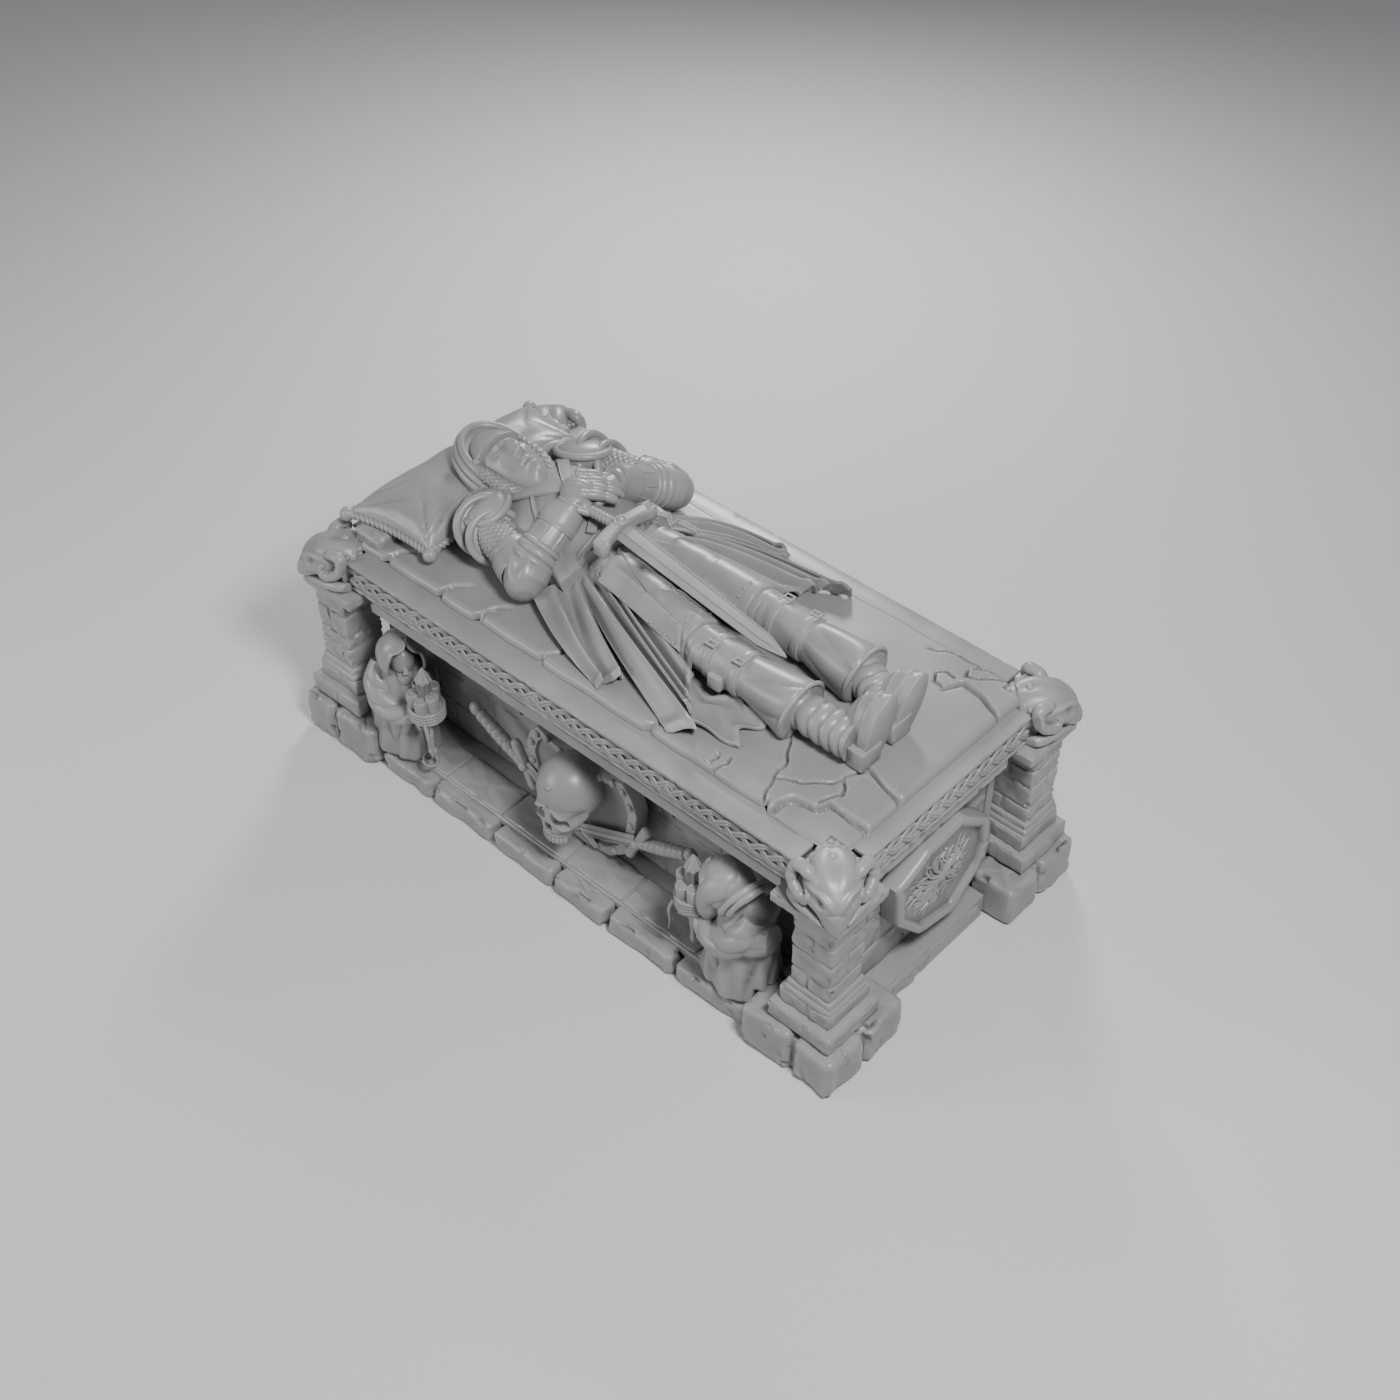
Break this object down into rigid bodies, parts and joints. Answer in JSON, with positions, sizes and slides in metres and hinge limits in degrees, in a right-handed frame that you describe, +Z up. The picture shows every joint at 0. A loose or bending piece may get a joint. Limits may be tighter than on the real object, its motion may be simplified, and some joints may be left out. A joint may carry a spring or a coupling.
{
  "type": "effigy tomb",
  "caption": "Stone tomb chest on corner piers with beast heads, a plaited lid, a lying knight, hooded weepers and skull trophies in its niches.",
  "frame": {"origin": "centre of the underside, on the floor", "axes": "+Z up; X along the tomb, with the head at -X and the feet at +X; Y across it"},
  "size_m": [2.4, 1.255, 1.13],
  "materials": {
    "carved_stone": "satin"
  },
  "bodies": {
    "root": {"plinth": "carved_stone", "pier_base_near_head": "carved_stone", "pier_base_near_foot": "carved_stone", "pier_base_far_head": "carved_stone", "pier_base_far_foot": "carved_stone", "pier_shaft_near_head": "carved_stone", "pier_shaft_near_foot": "carved_stone", "pier_shaft_far_head": "carved_stone", "pier_shaft_far_foot": "carved_stone", "pier_cap_near_head": "carved_stone", "pier_cap_near_foot": "carved_stone", "pier_cap_far_head": "carved_stone", "pier_cap_far_foot": "carved_stone", "beast_head_near_head": "carved_stone", "beast_head_near_foot": "carved_stone", "beast_head_far_head": "carved_stone", "beast_head_far_foot": "carved_stone", "side_wall_near": "carved_stone", "side_wall_far": "carved_stone", "end_wall_head": "carved_stone", "end_wall_foot": "carved_stone", "lid": "carved_stone", "paving": "carved_stone", "effigy": "carved_stone", "weeper_near_head": "carved_stone", "weeper_near_foot": "carved_stone", "weeper_far_head": "carved_stone", "weeper_far_foot": "carved_stone", "trophy_near": "carved_stone", "trophy_far": "carved_stone", "end_shield_head": "carved_stone", "end_shield_foot": "carved_stone"}
  },
  "joints": []
}
